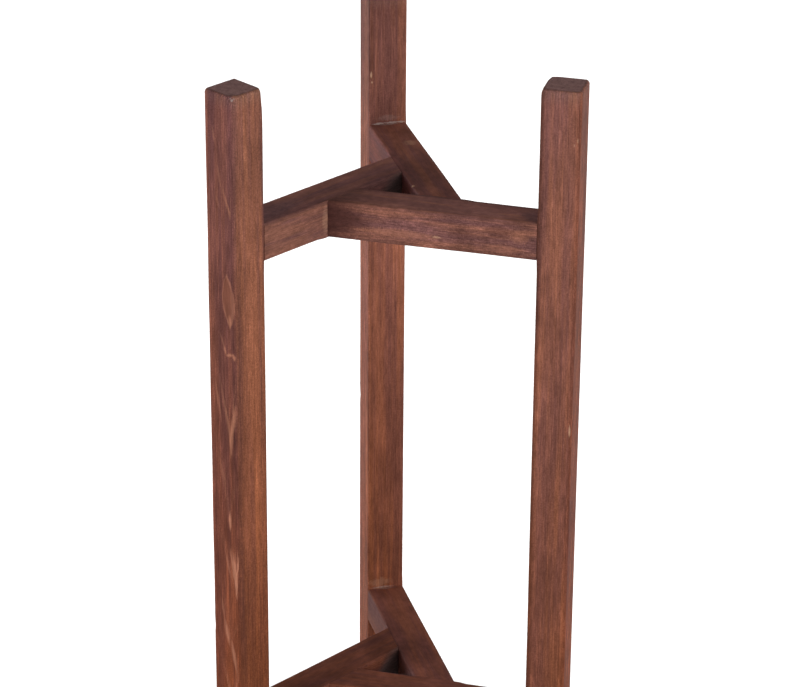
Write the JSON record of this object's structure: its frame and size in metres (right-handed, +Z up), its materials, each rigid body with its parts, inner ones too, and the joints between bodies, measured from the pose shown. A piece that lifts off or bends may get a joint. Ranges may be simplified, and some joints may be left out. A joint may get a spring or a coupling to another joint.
{
  "type": "tiered plant stand",
  "caption": "Wooden plant stand: square legs carry stacked tiers of rails that meet as a pinwheel and hold pots between the legs.",
  "frame": {"origin": "on the floor, at the middle of the stand's outline in plan", "axes": "+Z up along the legs; from the front, where two legs stand, +X is to the right and +Y to the back"},
  "size_m": [0.2752, 0.2424, 0.6525],
  "materials": {
    "stained_wood": "softwood in reddish walnut stain, satin varnish",
    "dowel_wood": "plain hardwood, unfinished"
  },
  "bodies": {
    "root": {"leg_back": "stained_wood", "upper_rail_back": "stained_wood", "upper_leg_dowels_back": "dowel_wood", "upper_rail_dowel_back": "dowel_wood", "lower_rail_back": "stained_wood", "lower_leg_dowels_back": "dowel_wood", "lower_rail_dowel_back": "dowel_wood", "leg_left": "stained_wood", "upper_rail_left": "stained_wood", "upper_leg_dowels_left": "dowel_wood", "upper_rail_dowel_left": "dowel_wood", "lower_rail_left": "stained_wood", "lower_leg_dowels_left": "dowel_wood", "lower_rail_dowel_left": "dowel_wood", "leg_right": "stained_wood", "upper_rail_right": "stained_wood", "upper_leg_dowels_right": "dowel_wood", "upper_rail_dowel_right": "dowel_wood", "lower_rail_right": "stained_wood", "lower_leg_dowels_right": "dowel_wood", "lower_rail_dowel_right": "dowel_wood"}
  },
  "joints": []
}
